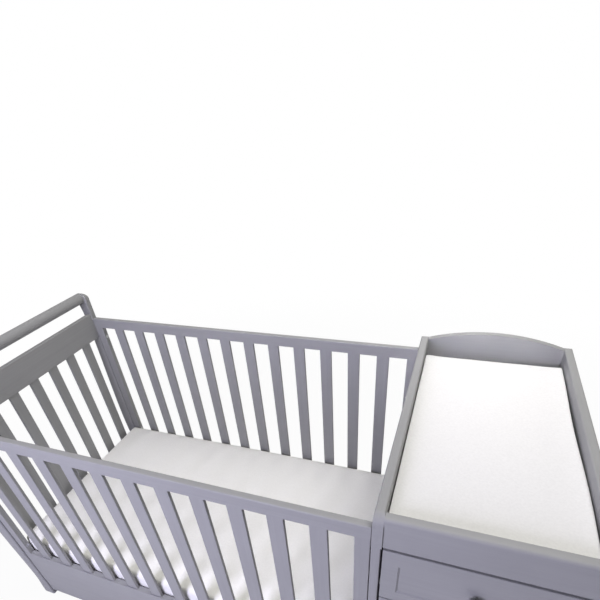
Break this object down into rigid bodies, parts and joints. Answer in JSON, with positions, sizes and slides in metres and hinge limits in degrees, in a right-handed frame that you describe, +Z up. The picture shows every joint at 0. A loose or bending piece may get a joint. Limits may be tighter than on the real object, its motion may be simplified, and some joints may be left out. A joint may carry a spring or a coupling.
{
  "type": "crib with attached changer",
  "caption": "Slatted crib with curved end posts and a round handrail, joined to a drawer cabinet with a changing tray, an arched back board and a pad.",
  "frame": {"origin": "middle of the footprint's bounding box, on the floor", "axes": "+X along the crib from the slatted end to the changer, +Y from the front to the back, +Z up"},
  "size_m": [1.804, 0.7904, 1.0341],
  "materials": {
    "grey_paint": "semi-gloss grey paint on wood",
    "drawer_board": "matt foil on board",
    "hardboard": "matt grey hardboard",
    "support_wood": "bare planed softwood",
    "zinc_steel": "zinc plated",
    "mattress_cover": "white cotton sheet",
    "pad_cover": "white padded cover"
  },
  "bodies": {
    "crib": {"left_front_post": "grey_paint", "left_back_post": "grey_paint", "end_handrail": "grey_paint", "end_wide_board": "grey_paint", "end_slats": "grey_paint", "end_bottom_rail": "grey_paint", "front_top_rail": "grey_paint", "front_left_stile": "grey_paint", "front_right_stile": "grey_paint", "front_slats": "grey_paint", "front_bottom_board": "grey_paint", "back_top_rail": "grey_paint", "back_left_stile": "grey_paint", "back_right_stile": "grey_paint", "back_slats": "grey_paint", "back_bottom_board": "grey_paint", "left_bolts": "zinc_steel", "right_bolts": "zinc_steel", "support_side_bars": "support_wood", "support_end_bars": "support_wood", "support_slats": "support_wood", "support_brackets": "zinc_steel", "support_screws": "zinc_steel", "cabinet_left_side": "grey_paint", "cabinet_right_side": "grey_paint", "cabinet_back": "hardboard", "cabinet_bottom": "grey_paint", "cabinet_base_rail": "grey_paint", "cabinet_front_stretcher": "grey_paint", "cabinet_back_stretcher": "grey_paint", "tray_left_side": "grey_paint", "tray_right_side": "grey_paint", "tray_front_rail": "grey_paint", "tray_arched_back": "grey_paint", "tray_floor": "hardboard", "drawer_runners": "zinc_steel"},
    "upper_drawer": {"upper_drawer_front": "grey_paint", "upper_drawer_left_side": "drawer_board", "upper_drawer_right_side": "drawer_board", "upper_drawer_back": "drawer_board", "upper_drawer_bottom": "drawer_board", "upper_drawer_knob": "grey_paint", "upper_drawer_slides": "zinc_steel"},
    "middle_drawer": {"middle_drawer_front": "grey_paint", "middle_drawer_left_side": "drawer_board", "middle_drawer_right_side": "drawer_board", "middle_drawer_back": "drawer_board", "middle_drawer_bottom": "drawer_board", "middle_drawer_knob": "grey_paint", "middle_drawer_slides": "zinc_steel"},
    "lower_drawer": {"lower_drawer_front": "grey_paint", "lower_drawer_left_side": "drawer_board", "lower_drawer_right_side": "drawer_board", "lower_drawer_back": "drawer_board", "lower_drawer_bottom": "drawer_board", "lower_drawer_knob": "grey_paint", "lower_drawer_slides": "zinc_steel"},
    "mattress": {"mattress": "mattress_cover"},
    "changing_pad": {"changing_pad": "pad_cover"}
  },
  "joints": [
    {"name": "upper_drawer_slide", "type": "slide", "parent": "crib", "child": "upper_drawer", "axis": [0, -1, 0], "range_m": [0, 0.33]},
    {"name": "middle_drawer_slide", "type": "slide", "parent": "crib", "child": "middle_drawer", "axis": [0, -1, 0], "range_m": [0, 0.33]},
    {"name": "lower_drawer_slide", "type": "slide", "parent": "crib", "child": "lower_drawer", "axis": [0, -1, 0], "range_m": [0, 0.33]},
    {"name": "mattress_lift", "type": "slide", "parent": "crib", "child": "mattress", "axis": [0, 0, 1], "range_m": [0, 0.3]},
    {"name": "pad_lift", "type": "slide", "parent": "crib", "child": "changing_pad", "axis": [0, 0, 1], "range_m": [0, 0.12]}
  ]
}
